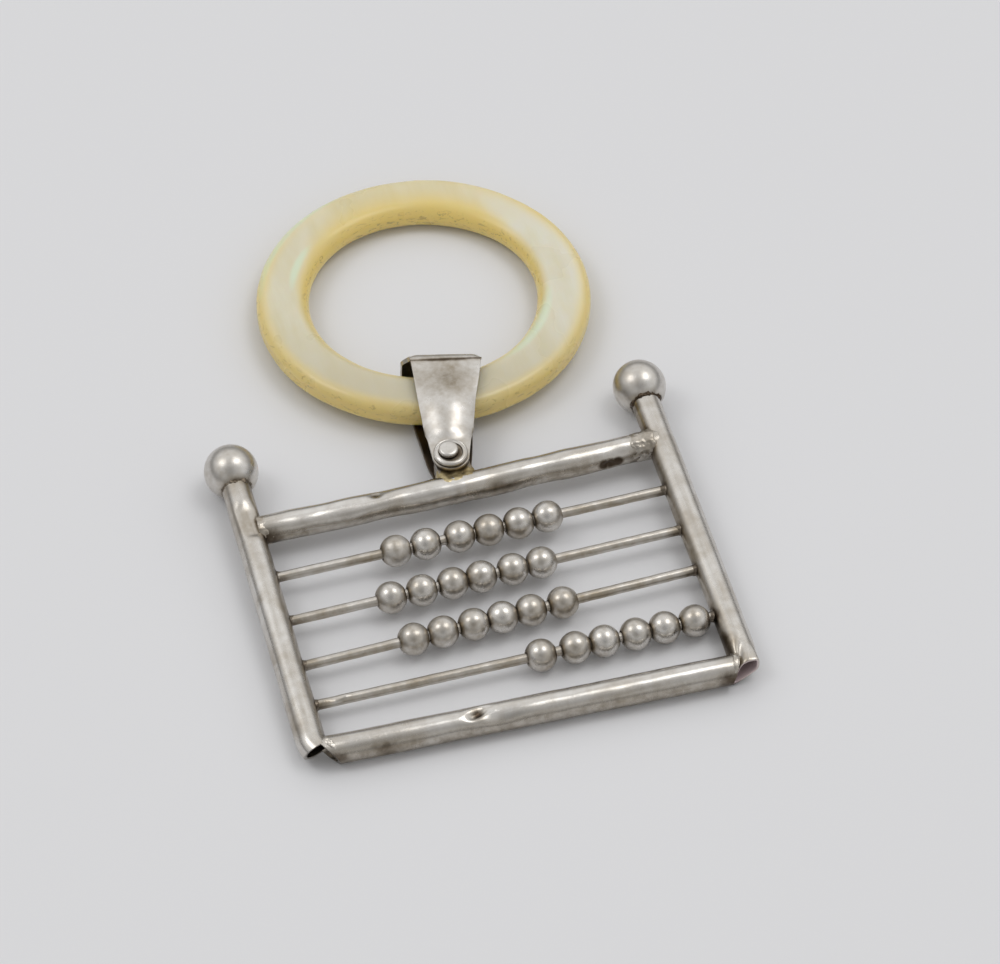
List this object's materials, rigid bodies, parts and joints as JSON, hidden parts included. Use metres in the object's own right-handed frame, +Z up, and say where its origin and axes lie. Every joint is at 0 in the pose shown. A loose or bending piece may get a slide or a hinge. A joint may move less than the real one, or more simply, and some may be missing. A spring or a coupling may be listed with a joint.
{
  "type": "teething ring",
  "caption": "Abacus teether: a flat frame of silver tube with ball finials and rods of sliding beads, and a riveted bail that carries a flat mother-of-pearl ring.",
  "frame": {"origin": "on the table, under the middle of the whole object's bounding box", "axes": "+X along the rails to the right, +Y along the posts towards the ring, +Z up off the table"},
  "size_m": [0.0528, 0.081, 0.0061],
  "materials": {
    "tube_silver": "worn, softly tarnished silver",
    "rod_silver": "dull tarnished silver",
    "bead_silver": "rubbed silver, dark in the hollows",
    "ball_silver": "rubbed silver",
    "bail_silver": "rubbed sheet silver, dark inside",
    "pearl": "polished mother-of-pearl, honey at the edges"
  },
  "bodies": {
    "frame": {"left_post": "tube_silver", "right_post": "tube_silver", "top_rail": "tube_silver", "bottom_rail": "tube_silver", "left_finial": "ball_silver", "right_finial": "ball_silver", "bead_rod_1": "rod_silver", "bead_rod_2": "rod_silver", "bead_rod_3": "rod_silver", "bead_rod_4": "rod_silver", "bail_lug": "tube_silver", "bail_pin": "bail_silver"},
    "bail": {"bail_strap": "bail_silver", "front_washer": "bail_silver", "back_washer": "bail_silver"},
    "ring": {"pearl_ring": "pearl"},
    "bead_1_1": {"bead_1_1": "bead_silver"},
    "bead_1_2": {"bead_1_2": "bead_silver"},
    "bead_1_3": {"bead_1_3": "bead_silver"},
    "bead_1_4": {"bead_1_4": "bead_silver"},
    "bead_1_5": {"bead_1_5": "bead_silver"},
    "bead_1_6": {"bead_1_6": "bead_silver"},
    "bead_2_1": {"bead_2_1": "bead_silver"},
    "bead_2_2": {"bead_2_2": "bead_silver"},
    "bead_2_3": {"bead_2_3": "bead_silver"},
    "bead_2_4": {"bead_2_4": "bead_silver"},
    "bead_2_5": {"bead_2_5": "bead_silver"},
    "bead_2_6": {"bead_2_6": "bead_silver"},
    "bead_3_1": {"bead_3_1": "bead_silver"},
    "bead_3_2": {"bead_3_2": "bead_silver"},
    "bead_3_3": {"bead_3_3": "bead_silver"},
    "bead_3_4": {"bead_3_4": "bead_silver"},
    "bead_3_5": {"bead_3_5": "bead_silver"},
    "bead_3_6": {"bead_3_6": "bead_silver"},
    "bead_4_1": {"bead_4_1": "bead_silver"},
    "bead_4_2": {"bead_4_2": "bead_silver"},
    "bead_4_3": {"bead_4_3": "bead_silver"},
    "bead_4_4": {"bead_4_4": "bead_silver"},
    "bead_4_5": {"bead_4_5": "bead_silver"},
    "bead_4_6": {"bead_4_6": "bead_silver"}
  },
  "joints": [
    {"name": "bail_swing", "type": "hinge", "parent": "frame", "child": "bail", "pos_m": [0.00008, -0.00415, 0.00286], "axis": [0, -0.0355, 0.9994], "range_deg": [-14, 32]},
    {"name": "ring_turn", "type": "hinge", "parent": "bail", "child": "ring", "pos_m": [0.00386, 0.02143, 0.00224], "axis": [0.0048, 0.0327, 0.9995], "continuous": true},
    {"name": "row_1_slide", "type": "slide", "parent": "frame", "child": "bead_1_6", "axis": [1, 0.0035, 0.0001], "range_m": [-0.0228, 0.0003]},
    {"name": "bead_1_1_slide", "type": "slide", "parent": "bead_1_2", "child": "bead_1_1", "axis": [-1, -0.0035, -0.0001], "range_m": [-0.00061, 0.003]},
    {"name": "bead_1_2_slide", "type": "slide", "parent": "bead_1_3", "child": "bead_1_2", "axis": [-1, -0.0035, -0.0001], "range_m": [-0.00004, 0.003]},
    {"name": "bead_1_3_slide", "type": "slide", "parent": "bead_1_4", "child": "bead_1_3", "axis": [-1, -0.0035, -0.0001], "range_m": [-0.00031, 0.003]},
    {"name": "bead_1_4_slide", "type": "slide", "parent": "bead_1_5", "child": "bead_1_4", "axis": [-1, -0.0035, -0.0001], "range_m": [-0.00004, 0.0109]},
    {"name": "bead_1_5_slide", "type": "slide", "parent": "bead_1_6", "child": "bead_1_5", "axis": [-1, -0.0035, -0.0001], "range_m": [-0.00017, 0.003]},
    {"name": "row_2_slide", "type": "slide", "parent": "frame", "child": "bead_2_1", "axis": [0.9995, 0.0314, 0.0011], "range_m": [-0.0103, 0.0132]},
    {"name": "bead_2_2_slide", "type": "slide", "parent": "bead_2_1", "child": "bead_2_2", "axis": [-0.9995, -0.0314, -0.0011], "range_m": [-0.0025, 0.00009]},
    {"name": "bead_2_3_slide", "type": "slide", "parent": "bead_2_2", "child": "bead_2_3", "axis": [-0.9995, -0.0314, -0.0011], "range_m": [-0.0025, 0.00024]},
    {"name": "bead_2_4_slide", "type": "slide", "parent": "bead_2_3", "child": "bead_2_4", "axis": [-0.9995, -0.0314, -0.0011], "range_m": [-0.0132, 0.00003]},
    {"name": "bead_2_5_slide", "type": "slide", "parent": "bead_2_4", "child": "bead_2_5", "axis": [-0.9995, -0.0314, -0.0011], "range_m": [-0.0025, 0.00003]},
    {"name": "bead_2_6_slide", "type": "slide", "parent": "bead_2_5", "child": "bead_2_6", "axis": [-0.9995, -0.0314, -0.0011], "range_m": [-0.0025, 0.00039]},
    {"name": "row_3_slide", "type": "slide", "parent": "frame", "child": "bead_3_1", "axis": [0.9998, 0.0209, 0.0007], "range_m": [-0.0094, 0.014]},
    {"name": "bead_3_2_slide", "type": "slide", "parent": "bead_3_1", "child": "bead_3_2", "axis": [-0.9998, -0.0209, -0.0007], "range_m": [-0.0023, 0.00024]},
    {"name": "bead_3_3_slide", "type": "slide", "parent": "bead_3_2", "child": "bead_3_3", "axis": [-0.9998, -0.0209, -0.0007], "range_m": [-0.014, 0.00026]},
    {"name": "bead_3_4_slide", "type": "slide", "parent": "bead_3_3", "child": "bead_3_4", "axis": [-0.9998, -0.0209, -0.0007], "range_m": [-0.0023, 0.00004]},
    {"name": "bead_3_5_slide", "type": "slide", "parent": "bead_3_4", "child": "bead_3_5", "axis": [-0.9998, -0.0209, -0.0007], "range_m": [-0.0023, 0.00034]},
    {"name": "bead_3_6_slide", "type": "slide", "parent": "bead_3_5", "child": "bead_3_6", "axis": [-0.9998, -0.0209, -0.0007], "range_m": [-0.0023, 0.00007]},
    {"name": "row_4_slide", "type": "slide", "parent": "frame", "child": "bead_4_1", "axis": [0.9999, 0.014, 0.0005], "range_m": [-0.0114, 0.0117]},
    {"name": "bead_4_2_slide", "type": "slide", "parent": "bead_4_1", "child": "bead_4_2", "axis": [-0.9999, -0.014, -0.0005], "range_m": [-0.0028, 0.00019]},
    {"name": "bead_4_3_slide", "type": "slide", "parent": "bead_4_2", "child": "bead_4_3", "axis": [-0.9999, -0.014, -0.0005], "range_m": [-0.0028, 0.00061]},
    {"name": "bead_4_4_slide", "type": "slide", "parent": "bead_4_3", "child": "bead_4_4", "axis": [-0.9999, -0.014, -0.0005], "range_m": [-0.0028, 0.00014]},
    {"name": "bead_4_5_slide", "type": "slide", "parent": "bead_4_4", "child": "bead_4_5", "axis": [-0.9999, -0.014, -0.0005], "range_m": [-0.0117, 0.00019]},
    {"name": "bead_4_6_slide", "type": "slide", "parent": "bead_4_5", "child": "bead_4_6", "axis": [-0.9999, -0.014, -0.0005], "range_m": [-0.0028, 0.00009]}
  ]
}
